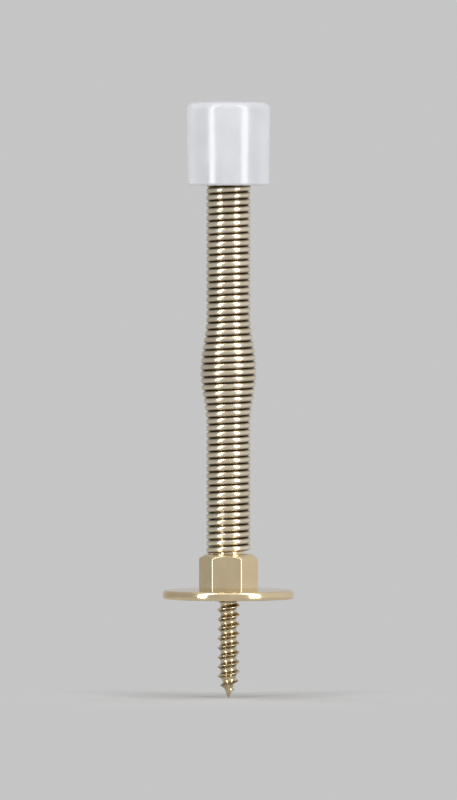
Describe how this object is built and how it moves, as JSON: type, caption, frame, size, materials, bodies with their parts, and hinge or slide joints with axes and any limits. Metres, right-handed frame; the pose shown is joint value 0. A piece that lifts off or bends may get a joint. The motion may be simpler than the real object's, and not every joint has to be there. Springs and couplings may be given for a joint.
{
  "type": "spring door stop",
  "caption": "Spring door stop: a close-wound brass-plated spring with a slight bulge, a soft white bumper tip, a hex flange base and a wood screw to fix it to a wall or skirting board.",
  "frame": {"origin": "centre of the flange's flat wall face, on the axis of the stop", "axes": "+Z out of the wall along the stop to the free end of the tip; the screw points to -Z; two flats of the hex face +Y and -Y"},
  "size_m": [0.0202, 0.0202, 0.0914],
  "materials": {
    "plated_casting": "polished",
    "plated_screw": "gloss",
    "plated_wire": "gloss",
    "white_vinyl": "satin"
  },
  "bodies": {
    "base": {"hex_flange_base": "plated_casting", "wood_screw": "plated_screw", "spring": "plated_wire"},
    "tip": {"bumper_tip": "white_vinyl"}
  },
  "joints": [
    {"name": "spring_bend", "type": "hinge", "parent": "base", "child": "tip", "pos_m": [0, 0, 0.0387], "axis": [0, 1, 0], "range_deg": [-45, 45], "stiffness_Nm_per_rad": 0.0082, "deforming": ["spring"]}
  ]
}
